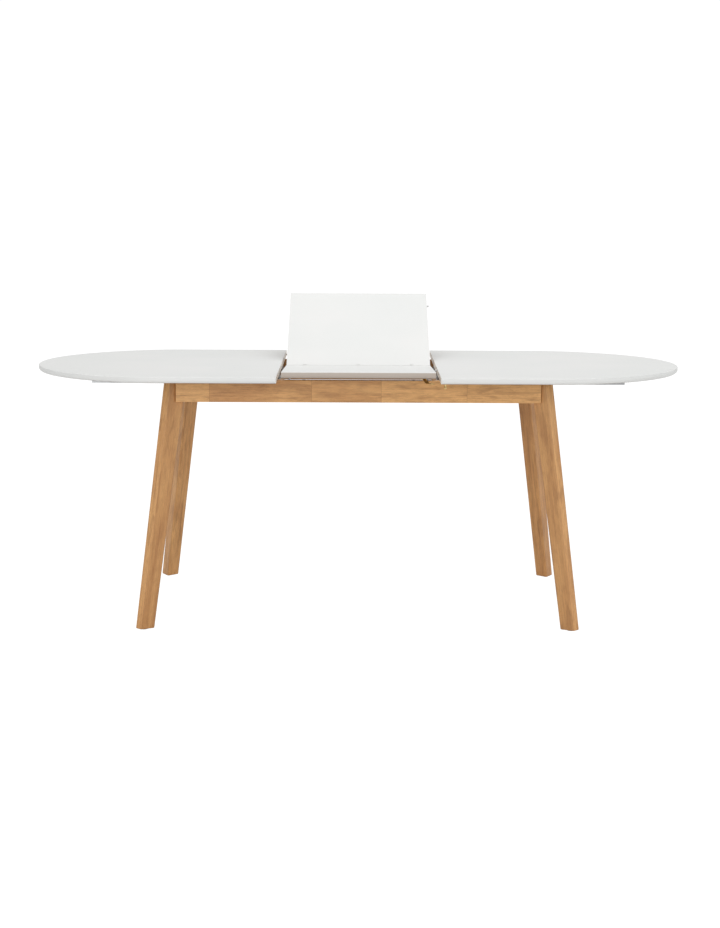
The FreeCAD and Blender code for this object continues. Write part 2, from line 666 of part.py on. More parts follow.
def runner_screws(side, extra="0"):
    return [runner_screw(side, depth, along, extra) for depth in SIDES for along in RUNNER_SCREWS]


def make_runner(name, side, depth):
    """A lipped steel channel under the top, open below, with a stop tab at its inner end."""
    body = new_body(name)
    middle = f"{depth} * runner_offset"
    centre = f"{side} * (cut_face + runner_inset + runner_long / 2)"
    sketch = new_sketch(body, "YZ_Plane", lift=centre)
    out = "runner_wide / 2"
    wall = "runner_wide / 2 - runner_wall"
    slot = "runner_wide / 2 - runner_wall - runner_lip"
    low = "runner_low"
    lip = "runner_low + runner_wall"
    web = "top_under - runner_wall"
    right = [(slot, low), (out, low), (out, "top_under")]
    inside = [(wall, web), (wall, lip), (slot, lip)]
    ring = [(f"{middle} + {a}", b) for a, b in right]
    ring += [(f"{middle} - ({a})", b) for a, b in reversed(right)]
    ring += [(f"{middle} - ({a})", b) for a, b in reversed(inside)]
    ring += [(f"{middle} + {a}", b) for a, b in inside]
    polygon(sketch, ring)
    pad(body, sketch, "runner_long", midplane=True)
    tab_wide = "(runner_wide - 2 * runner_wall)"
    tab_high = "(top_under - runner_wall - head_low - rail_head_thick - tab_clear)"
    tab_at = "(cut_face + runner_inset)"
    tab = box(STOP_TAB, tab_wide, tab_high, tab_at if side > 0 else f"0 - {tab_at} - {STOP_TAB}",
              f"{middle} - {tab_wide} / 2", f"{web} - {tab_high}")
    holes = [runner_screw(side, depth, along, "screw_fit") for along in RUNNER_SCREWS]
    return node(name, cut(fuse([body, tab]), holes))


# ---------------------------------------------------------------- alignment pins
def side_bore(side, back, radius, start, length, level):
    """A bore or pin along X; start and length are measured outward from the middle."""
    at = start if side > 0 else f"0 - ({start}) - ({length})"
    return rod(radius, length, at, back, level, OVER_Y, 90)


BOARD_MID = "(top_height - top_thick / 2)"
FRONT_PIN = "(0 - pivot_back)"
SOCKET_DEEP = "(align_proud + align_end_gap)"


def align_pin(side, back):
    """A steel pin in a cut face, standing proud towards the leaf."""
    start = "(cut_face - align_proud)"
    return side_bore(side, back, "align_radius", start, "align_proud + align_deep", BOARD_MID)


def align_socket(side, back):
    """The hole in a cut face that takes the leaf's pin."""
    return side_bore(side, back, "align_radius + align_fit", "cut_face - tool_past",
                     f"{SOCKET_DEEP} + tool_past", BOARD_MID)


# ---------------------------------------------------------------- top halves
def make_top_half(name, side, pin_at, socket_at):
    """One half of the oval top, its cut face square and its rim rounded."""
    body = new_body(name)
    sketch = new_sketch(body, lift="top_under")
    half_outline(sketch)
    board = pad(body, sketch, "top_thick")
    high = size("top_height")
    low = high - size("top_thick")
    upper = round_edges(body, board, lambda p: abs(p.z - high) < NEAR and p.x > NEAR, "edge_round")
    round_edges(body, upper, lambda p: abs(p.z - low) < NEAR and p.x > NEAR, "edge_under")
    turned = place(body, f"{side} * cut_face", 0, 0, UP, 0 if side > 0 else 180)
    holes = runner_screws(side, "screw_fit")
    holes += [side_bore(side, pin_at, "align_radius", "cut_face", "align_deep", BOARD_MID)]
    holes += [align_socket(side, socket_at)]
    if side > 0:
        holes += stud_screws("screw_fit")
    return node(name, cut(turned, holes))


# ---------------------------------------------------------------- latch stud under the right half
STUD_AT = "(cut_face + stud_back)"
STUD_PLATE_LOW = "(top_under - latch_base_thick)"


def stud_screws(extra="0"):
    """Two screws through the stud plate into the top."""
    return [upward_screw(f"{STUD_AT} + stud_screw_back",
                         f"0 - latch_front + {way} * (stud_plate / 2 - latch_screw_inset)",
                         STUD_PLATE_LOW, "latch_base_thick", "short_screw", extra) for way in SIDES]


def make_stud():
    """The plate and headed stud that the latch lever hooks round."""
    plate = box("stud_back + stud_plate_past", "stud_plate", "latch_base_thick",
                "cut_face + stud_plate_inset", "0 - latch_front - stud_plate / 2", STUD_PLATE_LOW)
    reach = "(latch_drop + latch_sheet + stud_proud)"
    stem = rod("stud_radius", reach, STUD_AT, "0 - latch_front", f"top_under - {reach}")
    head = rod("stud_head_radius", "stud_head_thick", STUD_AT, "0 - latch_front", f"top_under - {reach}")
    return node("latch_stud", cut(fuse([plate, stem, head]), stud_screws("screw_fit")))


# ---------------------------------------------------------------- frame pivot brackets
def bracket_screws(side, extra="0"):
    """Two screws through the pivot bracket into the bearer."""
    found = []
    for way in SIDES:
        back = f"0 - pivot_back + {way} * (plate_long / 2 - plate_screw_inset)"
        level = "(rail_seat - bracket_screw_drop)"
        start = "(bearer_face - plate_thick)"
        turn = 90 if side > 0 else -90
        taper = cone(f"screw_head + {extra}", f"screw_radius + {extra}", "screw_head_deep",
                     f"{side} * {start}", back, level, OVER_Y, turn)
        shank = rod(f"screw_radius + {extra}", "frame_screw", f"{side} * ({start} + screw_head_deep)",
                    back, level, OVER_Y, turn)
        found.append(fuse([taper, shank]))
    return found


def make_bracket(name, side):
    """A flat steel plate on the bearer that carries one leaf pivot."""
    start = "(bearer_face - plate_thick)"
    low = start if side > 0 else f"0 - {start} - plate_thick"
    plate = box("plate_thick", "plate_long", "bracket_high", low, "0 - pivot_back - plate_long / 2",
                "pivot_level + bracket_rise - bracket_high")
    hole = rod("pivot_radius + pivot_fit", "plate_thick + 2 * tool_past", f"{low} - tool_past",
               "0 - pivot_back", "pivot_level", OVER_Y, 90)
    return node(name, cut(plate, [hole] + bracket_screws(side, "screw_fit")))


# ---------------------------------------------------------------- leaf rest bumpers
def bumpers(extra="0", depths=SIDES, nail_only=False):
    """Small rubber buttons on the apron tops that the flat leaf comes down on."""
    made = []
    for side in SIDES:
        for depth in depths:
            x = f"{side} * bumper_side"
            y = f"{depth} * (apron_face_y - apron_thick / 2)"
            nail = rod(f"screw_radius + {extra}", "bumper_nail", x, y, "frame_top - bumper_nail")
            button = rod("bumper_radius", "slide_gap - bumper_clear", x, y, "frame_top")
            made.append(nail if nail_only else fuse([nail, button]))
    return made


# ---------------------------------------------------------------- leaf, front half
# Leaf pieces are drawn flat, measured from their turning axis, then turned to their rest angle.
LEAF_TOP = "pivot_drop"
LEAF_LOW = "(pivot_drop - top_thick)"
LEAF_EDGE = "(leaf_width / 2)"
LATCH_Y = "(pivot_back - latch_front)"
EAR_OUT = "(leaf_width / 2 - ear_inset)"
HINGES = {"left": -1, "middle": 0, "right": 1}
LINKS_WIDE = "(5 * link_thick + 6 * link_clear)"


def on_front_leaf(obj):
    """Turned about the leaf pivot, front edge up."""
    return place(obj, 0, "0 - pivot_back", "pivot_level", OVER_X, "0 - tilt_rest")


def on_rear_leaf(obj):
    """Turned about the fold axis, which the tilted front half carries."""
    high = "(pivot_drop + hinge_lift)"
    return place(obj, 0, f"0 - pivot_back + pivot_back * cos(tilt_rest) + {high} * sin(tilt_rest)",
                 f"pivot_level - pivot_back * sin(tilt_rest) + {high} * cos(tilt_rest)",
                 OVER_X, "fold_rest - tilt_rest")


def plate_screws(extra="0"):
    """Screws of the two leaf pivot plates, up into the leaf."""
    return [upward_screw(f"{side} * ({EAR_OUT} - plate_screw_side)",
                         f"{way} * (plate_long / 2 - plate_screw_inset)",
                         f"{LEAF_LOW} - plate_thick", "screw_head_deep", "short_screw", extra)
            for side in SIDES for way in SIDES]


def latch_screws(extra="0"):
    """Two screws through the latch plate into the leaf."""
    return [upward_screw(f"latch_out + {way} * (latch_plate_long / 2 - latch_screw_inset)", LATCH_Y,
                         f"{LEAF_LOW} - latch_base_thick", "latch_base_thick", "short_screw", extra)
            for way in SIDES]


def hinge_room(middle, side, axis_y, axis_z):
    """The bore for a barrel and the round recess for the link plates, in one leaf half."""
    bore = rod("barrel_radius", "barrel_long", middle, axis_y, f"{axis_z} - hinge_lift - top_thick / 2",
               OVER_X, -90 if side > 0 else 90)
    return [bore, link_recess(middle, axis_y, axis_z)]


def link_recess(middle, axis_y, axis_z):
    """The round room that the link plates turn in."""
    return rod("link_radius + link_clear", LINKS_WIDE, f"{middle} - {LINKS_WIDE} / 2", axis_y, axis_z,
               OVER_Y, 90)


def make_hinge(name, middle, side):
    """A barrel hinge: a brass barrel sunk in the edge, and link plates that interleave with
    those of the other barrel.  Each plate is the part of a disc below its own leaf surface, so
    nothing stands above the leaf.  Drawn from the fold axis; side is -1 in the front half."""
    level = "(0 - hinge_lift - top_thick / 2)"
    pitch = "(link_thick + link_clear)"
    own = (-2, 0, 2) if side < 0 else (-1, 1)
    barrel = rod("barrel_radius", "barrel_long - fold_gap / 2", middle, f"{side} * fold_gap / 2", level,
                 OVER_X, -90 if side > 0 else 90)
    pieces = [cut(barrel, [link_recess(middle, 0, 0)])]
    for step in own:
        at = f"{middle} + {step} * {pitch} - link_thick / 2"
        disc = rod("link_radius", "link_thick", at, 0, 0, OVER_Y, 90)
        sky = box("link_thick + 2 * tool_past", "4 * link_radius", "2 * link_radius", f"{at} - tool_past",
                  "0 - 2 * link_radius", "0 - hinge_lift")
        root_y = "0 - link_radius - link_root" if side < 0 else "fold_gap / 2"
        above = f"(sqrt(barrel_radius ^ 2 - ({LINKS_WIDE} / 2) ^ 2) - link_root_cover)"
        root = box("link_thick", "link_radius + link_root - fold_gap / 2", f"{above} + link_root_low",
                   at, root_y, f"{level} - link_root_low")
        pieces += [cut(disc, [sky]), root]
    hinge = fuse(pieces)
    if side > 0:
        return node(name, on_rear_leaf(hinge))
    drawn_flat = group([place(hinge, 0, "pivot_back", "pivot_drop + hinge_lift")])
    return node(name, on_front_leaf(drawn_flat))


def hinge_middle(place_name):
    """Where a leaf hinge sits along the fold."""
    return f"{HINGES[place_name]} * hinge_spread"


def round_free_edge(body, board, edge, top):
    """Round the upper and lower rims of the leaf edge at y = edge, as on the top halves."""
    low = top - size("top_thick")

    def on_rim(level):
        return lambda point: abs(point.z - level) < NEAR and abs(point.y - edge) < NEAR

    upper = round_edges(body, board, on_rim(top), "edge_round")
    round_edges(body, upper, on_rim(low), "edge_under")


def make_leaf_front():
    """The front half of the leaf, bored for hinges, pivot plates, latch and one pin slot."""
    body = new_body("leaf_front")
    sketch = new_sketch(body, lift=LEAF_LOW)
    front = "pivot_back - top_width / 2"
    rear = "pivot_back - fold_gap / 2"
    polygon(sketch, [(f"0 - {LEAF_EDGE}", front), (LEAF_EDGE, front), (LEAF_EDGE, rear),
                     (f"0 - {LEAF_EDGE}", rear)])
    board = pad(body, sketch, "top_thick")
    edge = size("pivot_back") - size("top_width") / 2
    round_free_edge(body, board, edge, size("pivot_drop"))
    tools = plate_screws("screw_fit") + latch_screws("screw_fit")
    for middle in HINGES:
        tools += hinge_room(hinge_middle(middle), -1, "pivot_back", "pivot_drop + hinge_lift")
    tools += [pin_slot()]
    return node("leaf_front", on_front_leaf(cut(body, tools)))


def pin_slot():
    """The slot in the right edge that slides over the right half's front pin as the leaf tilts.
    The pin stands straight above the leaf pivot, so the slot runs from there to the front."""
    radius = "(align_radius + align_fit)"
    level = "(pivot_drop - top_thick / 2)"
    turn = "(180 * tilt_rest / fold_rest)"
    travel = f"({level} * sin{turn})"
    fall = f"({level} * (1 - cos{turn}))"
    start = f"{LEAF_EDGE} - {SOCKET_DEEP}"
    deep = f"{SOCKET_DEEP} + tool_past"
    ends = [("0", level), (f"0 - {travel}", level), (f"0 - {travel}", f"{level} - {fall}")]
    middle = box(deep, travel, f"2 * {radius} + {fall}", start, f"0 - {travel}",
                 f"{level} - {radius} - {fall}")
    return fuse([side_bore(1, back, radius, start, deep, high) for back, high in ends] + [middle])


def make_leaf_plate(name, side):
    """A steel angle under the leaf: a screwed flange and an ear that holds the pivot pin."""
    flange_at = f"({EAR_OUT} - plate_wide)"
    low = f"{side} * {EAR_OUT}" if side < 0 else flange_at
    flange = box("plate_wide", "plate_long", "plate_thick", low, "0 - plate_long / 2",
                 f"{LEAF_LOW} - plate_thick")
    ear_at = f"({EAR_OUT} - plate_thick)" if side > 0 else f"0 - {EAR_OUT}"
    ear_high = f"({LEAF_LOW} + pivot_radius + ear_margin)"
    ear = box("plate_thick", "ear_long", ear_high, ear_at, "0 - ear_long / 2",
              "0 - pivot_radius - ear_margin")
    hole = rod("pivot_radius", "plate_thick + 2 * tool_past", f"{ear_at} - tool_past", 0, 0, OVER_Y, 90)
    return node(name, on_front_leaf(cut(fuse([flange, ear]), [hole] + plate_screws("screw_fit"))))


PIVOT_END = "(bearer_face + clip_gap + clip_thick + pivot_proud)"


def make_pivot_pin(name, side):
    """A headed pin, pressed in the ear and turning in the frame bracket."""
    start = f"({EAR_OUT} - plate_thick)"
    shank = side_bore(side, 0, "pivot_radius", start, f"{PIVOT_END} - {start}", "0")
    head = side_bore(side, 0, "pin_head_radius", f"{start} - pin_head_thick", "pin_head_thick", "0")
    return node(name, on_front_leaf(fuse([shank, head])))


def make_clip(side):
    """The ring that keeps a pivot pin in its bracket."""
    start = "(bearer_face + clip_gap)"
    ring = side_bore(side, 0, "clip_radius", start, "clip_thick", "0")
    hole = side_bore(side, 0, "pivot_radius", f"{start} - tool_past", "clip_thick + 2 * tool_past", "0")
    return cut(ring, [hole])


# ---------------------------------------------------------------- latch
ROOT_LEVEL = f"({LEAF_LOW} - latch_root_drop)"


def make_latch_base():
    """The plate, and the rivet that the lever turns on."""
    plate = box("latch_plate_long", "latch_plate", "latch_base_thick", "latch_out - latch_plate_long / 2",
                f"{LATCH_Y} - latch_plate / 2", f"{LEAF_LOW} - latch_base_thick")
    head_level = f"({ROOT_LEVEL} - latch_sheet - rivet_gap)"
    rivet = rod("rivet_radius", f"{LEAF_LOW} - {head_level}", "latch_out", LATCH_Y, head_level)
    head = rod("rivet_head", "rivet_head_thick", "latch_out", LATCH_Y, f"{head_level} - rivet_head_thick")
    return node("latch_base", on_front_leaf(cut(fuse([plate, rivet, head]), latch_screws("screw_fit"))))


def make_latch_lever():
    """A cranked strip with a hook notch, drawn from its rivet along +X, root at the top."""
    body = new_body("latch_lever")
    sketch = new_sketch(body, "XZ_Plane")
    step = "(latch_drop - latch_root_drop)"
    back = "0 - latch_wide / 2"
    upper = [(back, "0"), ("crank_start", "0"), ("crank_end", f"0 - {step}"), ("latch_long", f"0 - {step}")]
    polygon(sketch, upper + [(along, f"{level} - latch_sheet") for along, level in reversed(upper)])
    strip = pad(body, sketch, "latch_wide", midplane=True)
    half = size("latch_wide") / 2
    ends = (size("latch_long"), -half)

    def at_corner(point):
        return min(abs(point.x - end) for end in ends) < NEAR and abs(abs(point.y) - half) < NEAR

    round_edges(body, strip, at_corner, "latch_corner")
    reach = "(leaf_width / 2 + leaf_joint + stud_back - latch_out)"
    radius = "(stud_radius + stud_fit)"
    deep = "(latch_sheet + 2 * tool_past)"
    low = f"0 - {step} - latch_sheet - tool_past"
    notch = [rod(radius, deep, reach, 0, low)]
    notch += [box(f"2 * {radius}", "latch_wide", deep, f"{reach} - {radius}", 0, low)]
    hole = rod("rivet_radius + pivot_fit", deep, 0, 0, "0 - latch_sheet - tool_past")
    lever = cut(body, notch + [hole])
    turned = place(lever, 0, 0, 0, UP, "0 - latch_angle")
    seat = group([turned])
    place(seat, "latch_out", LATCH_Y, ROOT_LEVEL)
    return node("latch_lever", on_front_leaf(group([seat])))


# ---------------------------------------------------------------- leaf, rear half
REAR_MID = "(0 - hinge_lift - top_thick / 2)"


def make_leaf_rear():
    """The rear half of the leaf, drawn from the fold axis, with a pin hole in each side edge."""
    body = new_body("leaf_rear")
    sketch = new_sketch(body, lift="0 - hinge_lift - top_thick")
    near = "fold_gap / 2"
    far = "top_width / 2"
    polygon(sketch, [(f"0 - {LEAF_EDGE}", near), (LEAF_EDGE, near), (LEAF_EDGE, far),
                     (f"0 - {LEAF_EDGE}", far)])
    board = pad(body, sketch, "top_thick")
    edge = size("top_width") / 2
    round_free_edge(body, board, edge, -size("hinge_lift"))
    tools = []
    for middle in HINGES:
        tools += hinge_room(hinge_middle(middle), 1, "0", "0")
    tools += [side_bore(-1, "align_rear", "align_radius + align_fit", f"{LEAF_EDGE} - {SOCKET_DEEP}",
                        f"{SOCKET_DEEP} + tool_past", REAR_MID)]
    tools += [side_bore(1, "align_rear", "align_radius", f"{LEAF_EDGE} - align_deep",
                        "align_deep + tool_past", REAR_MID)]
    return node("leaf_rear", on_rear_leaf(cut(body, tools)))


def make_leaf_pin():
    """The steel pin in the right edge of the rear half."""
    pin = side_bore(1, "align_rear", "align_radius", f"{LEAF_EDGE} - align_deep", "align_deep + align_proud",
                    REAR_MID)
    return node("align_pin_leaf", on_rear_leaf(group([pin])))


# ---------------------------------------------------------------- the assembly
SIDE_NAMES = {"left": -1, "right": 1}
DEPTH_NAMES = {"front": -1, "rear": 1}
for word, depth in DEPTH_NAMES.items():
    make_long_apron(f"apron_{word}", depth)
for word, side in SIDE_NAMES.items():
    make_side_apron(f"apron_{word}", side)
    make_bearer(f"bearer_{word}", side)
    make_bracket(f"pivot_bracket_{word}", side)
    make_leaf_plate(f"leaf_plate_{word}", side)
    make_pivot_pin(f"pivot_pin_{word}", side)
    node(f"runner_screws_{word}", group(runner_screws(side)))
    for where, depth in DEPTH_NAMES.items():
        make_rail(f"guide_rail_{word}_{where}", side, depth)
        make_runner(f"runner_{word}_{where}", side, depth)
node("pivot_clips", on_front_leaf(group([make_clip(side) for side in SIDES])))
node("bearer_screws", group(bearer_screws()))
node("bracket_screws", group(bracket_screws(-1) + bracket_screws(1)))
node("rail_screws", group([rail_screw(side, depth, along) for side in SIDES for depth in SIDES
                           for along in (BEARER_MID, "apron_face_x - apron_thick / 2")]))
node("slide_pads", group([slide_pad(side, depth, start) for side in SIDES for depth in SIDES
                          for start in (PAD_START, f"({RAIL_END} - pad_long)")]))
node("leaf_bumpers", group(bumpers()))
make_top_half("top_left", -1, "align_rear", FRONT_PIN)
make_top_half("top_right", 1, FRONT_PIN, "align_rear")
node("align_pin_left", align_pin(-1, "align_rear"))
node("align_pin_right", align_pin(1, FRONT_PIN))
make_stud()
node("stud_screws", group(stud_screws()))
make_leaf_front()
node("leaf_plate_screws", on_front_leaf(group(plate_screws())))
make_latch_base()
node("latch_screws", on_front_leaf(group(latch_screws())))
make_latch_lever()
make_leaf_rear()
make_leaf_pin()
for word in HINGES:
    make_hinge(f"leaf_hinge_front_{word}", hinge_middle(word), -1)
    make_hinge(f"leaf_hinge_rear_{word}", hinge_middle(word), 1)

doc.recompute()
for obj in doc.Objects:
    if "Invalid" in obj.State or "Error" in obj.State:
        raise RuntimeError(f"{obj.Name} {obj.Label} did not build: {obj.State}")
for name, obj in nodes.items():
    if obj.Shape.isNull() or not obj.Shape.isValid():
        raise RuntimeError(f"{name} has no valid shape")

os.makedirs("parts", exist_ok=True)
for name, obj in nodes.items():
    obj.Shape.exportStep(f"parts/{name}.step")
print(len(nodes), "nodes")
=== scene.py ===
"""Extending oval dining table: finishes, studio and camera round the CAD frame.

Metres, +X along the table, +Y to the rear, +Z up."""
import math

import bpy
import numpy as np
from mathutils import Matrix, Vector


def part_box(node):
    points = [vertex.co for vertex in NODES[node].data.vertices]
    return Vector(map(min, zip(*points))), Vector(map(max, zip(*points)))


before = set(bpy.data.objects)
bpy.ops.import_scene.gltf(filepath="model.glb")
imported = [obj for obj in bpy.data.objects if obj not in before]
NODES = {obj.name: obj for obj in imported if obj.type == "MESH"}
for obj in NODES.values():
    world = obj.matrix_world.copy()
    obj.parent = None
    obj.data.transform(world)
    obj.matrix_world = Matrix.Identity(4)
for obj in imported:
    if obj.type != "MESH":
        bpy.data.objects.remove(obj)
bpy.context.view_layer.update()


# ---------------------------------------------------------------- shader arithmetic
class Field:
    """A number that varies over a surface: arithmetic on it adds Math nodes."""

    def __init__(self, finish, socket):
        self.finish = finish
        self.socket = socket

    def math(self, operation, *others):
        values = dict(enumerate((self,) + others))
        return self.finish.add("ShaderNodeMath", {"operation": operation}, values)

    def __add__(self, other):
        return self.math("ADD", other)

    __radd__ = __add__

    def __mul__(self, other):
        return self.math("MULTIPLY", other)

    __rmul__ = __mul__

    def __sub__(self, other):
        return self.math("SUBTRACT", other)

    def __rsub__(self, other):
        return (self * -1) + other

    def __gt__(self, other):
        return self.math("GREATER_THAN", other)

    def __lt__(self, other):
        return self.math("LESS_THAN", other)

    def __abs__(self):
        return self.math("ABSOLUTE")

    def sine(self):
        return self.math("SINE")

    def least(self, other):
        return self.math("MINIMUM", other)

    def between(self, low, high):
        """0 at low, 1 at high, held at both ends."""
        settings = {"clamp": True, "interpolation_type": "SMOOTHSTEP"}
        values = {"Value": self, "From Min": low, "From Max": high}
        return self.finish.add("ShaderNodeMapRange", settings, values)


class Finish:
    """One procedural material: a Principled shader and the nodes that feed it."""

    def __init__(self, name, **constants):
        self.material = bpy.data.materials.new(name)
        self.material.use_nodes = True
        self.tree = self.material.node_tree
        self.shader = self.tree.nodes["Principled BSDF"]
        for name, value in constants.items():
            self.shader.inputs[name.replace("_", " ")].default_value = value
        self.place = self.add("ShaderNodeTexCoord", {}, {}, "Object")

    def add(self, kind, settings, values, output=0):
        """A node of one kind: its settings first, then the values or links of its sockets."""
        node = self.tree.nodes.new(kind)
        for name, setting in settings.items():
            setattr(node, name, setting)
        for name, value in values.items():
            if isinstance(value, Field):
                self.tree.links.new(value.socket, node.inputs[name])
            else:
                node.inputs[name].default_value = value
        return Field(self, node.outputs[output])

    def feed(self, **fields):
        for name, field in fields.items():
            self.tree.links.new(field.socket, self.shader.inputs[name.replace("_", " ")])

    def moved(self, field, **change):
        """Coordinates after a shift, turn or stretch."""
        return self.add("ShaderNodeMapping", {}, {"Vector": field, **change})

    def facing(self, direction):
        """How far a face looks one way: 1 straight on, -1 straight back."""
        normal = self.add("ShaderNodeTexCoord", {}, {}, "Normal")
        settings = {"operation": "DOT_PRODUCT"}
        return self.add("ShaderNodeVectorMath", settings, {0: normal, 1: direction}, "Value")

    def noise(self, where, scale, detail=3.0, roughness=0.5, distortion=0.0):
        values = {"Vector": where, "Scale": scale, "Detail": detail, "Roughness": roughness}
        return self.add("ShaderNodeTexNoise", {}, {**values, "Distortion": distortion})

    def blend(self, share, low, high, kind="MIX"):
        """A colour between two colours."""
        settings = {"data_type": "RGBA", "blend_type": kind}
        return self.add("ShaderNodeMix", settings, {0: share, 6: low, 7: high}, 2)

    def bump(self, height, distance, strength=1.0):
        values = {"Height": height, "Distance": distance, "Strength": strength}
        self.feed(Normal=self.add("ShaderNodeBump", {}, values))

    def glow(self, share, strength):
        """Mixes an even white glow into the surface by a share."""
        light = self.add("ShaderNodeEmission", {}, {"Strength": strength})
        surface = Field(self, self.shader.outputs[0])
        blend = self.add("ShaderNodeMixShader", {}, {0: share, 1: surface, 2: light})
        self.tree.links.new(blend.socket, self.tree.nodes["Material Output"].inputs["Surface"])


def rgb(red, green, blue):
    return (red, green, blue, 1.0)


# ---------------------------------------------------------------- finishes
def lacquer(name, edge=None, slope=0.0, cut=None):
    """Satin white lacquer on fibreboard: orange peel, faint wiping marks, a hint of warmth.

    Faces that look down are painted dark brown: painted shade, so the gaps under the panels read dark.
    An edge colour, where given, is laid on the faces that don't look up, darker and browner.  Slope is
    the rise to the rear, in radians, of a panel that isn't level.  Cut is the way the sawn face looks:
    it is painted lighter and creamier, a painted highlight."""
    finish = Finish(name, IOR=1.5, Specular_IOR_Level=0.5)
    cloudy = finish.noise(finish.place, 3.0, detail=2.0)
    smear = finish.noise(finish.moved(finish.place, Scale=(2.0, 14.0, 14.0)), 1.6, detail=4.0, distortion=0.6)
    peel = finish.noise(finish.place, 420.0, detail=2.0)
    speck = finish.noise(finish.place, 900.0, detail=1.0).between(0.74, 0.8)
    tint = finish.blend(cloudy.between(0.3, 0.7), rgb(0.795, 0.805, 0.79), rgb(0.825, 0.825, 0.81))
    colour = finish.blend(speck * 0.25, tint, rgb(0.66, 0.65, 0.62))
    upward = finish.facing((0.0, -math.sin(slope), math.cos(slope)))
    # Faces that don't look up are given the edge colour: darker and browner.
    if edge:
        colour = finish.blend((1 - upward.between(0.15, 0.9)) * (0.85 + smear * 0.3), colour, edge)
    # Painted highlight: the sawn end face is painted lighter and creamier than the lacquer.
    if cut:
        colour = finish.blend(finish.facing(cut).between(0.8, 0.95), colour, rgb(0.99, 0.96, 0.89))
    # Painted shade: faces that look down are painted dark brown, so the gaps under the panels read dark.
    underside_mottle = finish.noise(finish.place, 240.0, detail=4.0, roughness=0.7)
    underside_shade = finish.blend(underside_mottle.between(0.35, 0.65), rgb(0.16, 0.105, 0.06), rgb(0.24, 0.165, 0.10))
    colour = finish.blend((1 - upward.between(-0.97, -0.85)) * 0.95, colour, underside_shade)
    finish.feed(Base_Color=colour, Roughness=0.34 + smear * 0.12 + peel * 0.03)
    finish.bump(peel * 0.7 + cloudy * 0.3, 0.00006)
    return finish.material


FAR_END = 9.0


class Timber:
    """What differs from one cut of the same hardwood to the next."""

    def __init__(self, pale, warm, dark, turn=(0, 0, 0), shift=(0, 0, 0), **rest):
        self.pale, self.warm, self.dark = pale, warm, dark
        self.turn, self.shift = turn, shift
        self.joints = rest.get("joints", ())
        self.tones = rest.get("tones", ())
        self.sheen = rest.get("sheen", 0.0)
        self.rough = rest.get("rough", 0.42)
        # Painted shade: faces turned to this side are darkened towards the dark colour, by this share.
        self.shaded_side = rest.get("shaded_side", (0.0, 0.0, -1.0))
        self.painted_shade_by = rest.get("painted_shade_by", 0.0)


def timber(name, cut):
    """Straight-grained pale hardwood, grain along X after the turn.

    Growth rings are bands of the distance from a pith line that lies outside the piece, bent by
    slow noise.  Fibres and pores are noise stretched along the grain.  Each stave between glue
    joints starts at its own place in the log and has its own tone.  Faces turned one way may be
    painted towards the dark colour: painted shade on faces turned in under the table."""
    finish = Finish(name, IOR=1.5, Coat_Roughness=0.3, Coat_IOR=1.5)
    grain = finish.moved(finish.place, Rotation=cut.turn)
    along = finish.add("ShaderNodeSeparateXYZ", {}, {"Vector": grain}, "X")
    stave = along > FAR_END
    seam = abs(along - FAR_END)
    for joint in cut.joints:
        stave = stave + (along > joint)
        seam = seam.least(abs(along - joint))
    seed = stave + cut.shift[0] * 7.3
    chance = finish.add("ShaderNodeTexWhiteNoise", {"noise_dimensions": "1D"}, {"W": seed})
    leap = {"X": chance * 3.1, "Y": chance * 0.31, "Z": chance * -0.17}
    jump = finish.add("ShaderNodeCombineXYZ", {}, leap)
    log = finish.add("ShaderNodeVectorMath", {"operation": "ADD"}, {0: grain, 1: jump})
    log = finish.moved(log, Location=cut.shift)

    wander = finish.noise(finish.moved(log, Scale=(1.6, 9.0, 9.0)), 1.0, detail=3.0, distortion=0.4)
    across = finish.moved(log, Scale=(0.0, 1.0, 1.0), Location=(0.0, 0.071, 0.046))
    radius = finish.add("ShaderNodeVectorMath", {"operation": "LENGTH"}, {0: across}, "Value")
    rings = (radius * 1150.0 + wander * 34.0 + along * 6.0).sine()
    streak = finish.noise(finish.moved(log, Scale=(4.0, 110.0, 110.0)), 1.0, detail=4.0, roughness=0.6)
    fibre = finish.noise(finish.moved(log, Scale=(22.0, 900.0, 900.0)), 1.0, detail=2.0)
    pore = finish.noise(finish.moved(log, Scale=(75.0, 1500.0, 1500.0)), 1.0, detail=1.0).between(0.63, 0.72)
    patch = finish.noise(finish.moved(log, Scale=(3.2, 16.0, 16.0)), 1.0, detail=2.0, distortion=1.2)

    own = chance * 0.5
    if cut.tones:
        own = (along > FAR_END) + cut.tones[0]
        for joint, before, after in zip(cut.joints, cut.tones, cut.tones[1:]):
            own = own + (along > joint) * (after - before)
    tone = (patch * 1.1 + streak * 0.5 + own - 0.6).between(0.1, 0.9)
    colour = finish.blend(tone, cut.pale, cut.warm)
    figure = finish.noise(finish.moved(log, Scale=(7.0, 46.0, 46.0)), 1.0, detail=3.0, distortion=0.9)
    colour = finish.blend(figure.between(0.5, 0.72) * 0.42, colour, cut.dark)
    mottle = finish.noise(finish.moved(log, Scale=(30.0, 130.0, 130.0)), 1.0, detail=4.0, roughness=0.7)
    colour = finish.blend(mottle.between(0.42, 0.7) * 0.26, colour, cut.dark)
    colour = finish.blend(rings.between(0.2, 1.0) * 0.14 + streak.between(0.54, 0.75) * 0.3, colour, cut.dark)
    colour = finish.blend(fibre.between(0.35, 0.75) * 0.22, colour, cut.dark)
    colour = finish.blend(pore * 0.45, colour, cut.dark)
    # Painted shade: faces turned to the shaded side are blended towards the dark colour.
    darker = finish.facing(cut.shaded_side).between(0.3, 0.7) * cut.painted_shade_by
    colour = finish.blend(darker, colour, cut.dark)
    glue = 1 - seam.between(0.0002, 0.0007)
    colour = finish.blend(glue * 0.6, colour, cut.dark)
    finish.feed(Base_Color=colour, Roughness=cut.rough + fibre * 0.1 + pore * 0.15)
    finish.bump(fibre * 0.35 + streak * 0.25 - pore * 0.8 - glue * 0.8, 0.00012)
    finish.shader.inputs["Coat Weight"].default_value = cut.sheen
    return finish.material


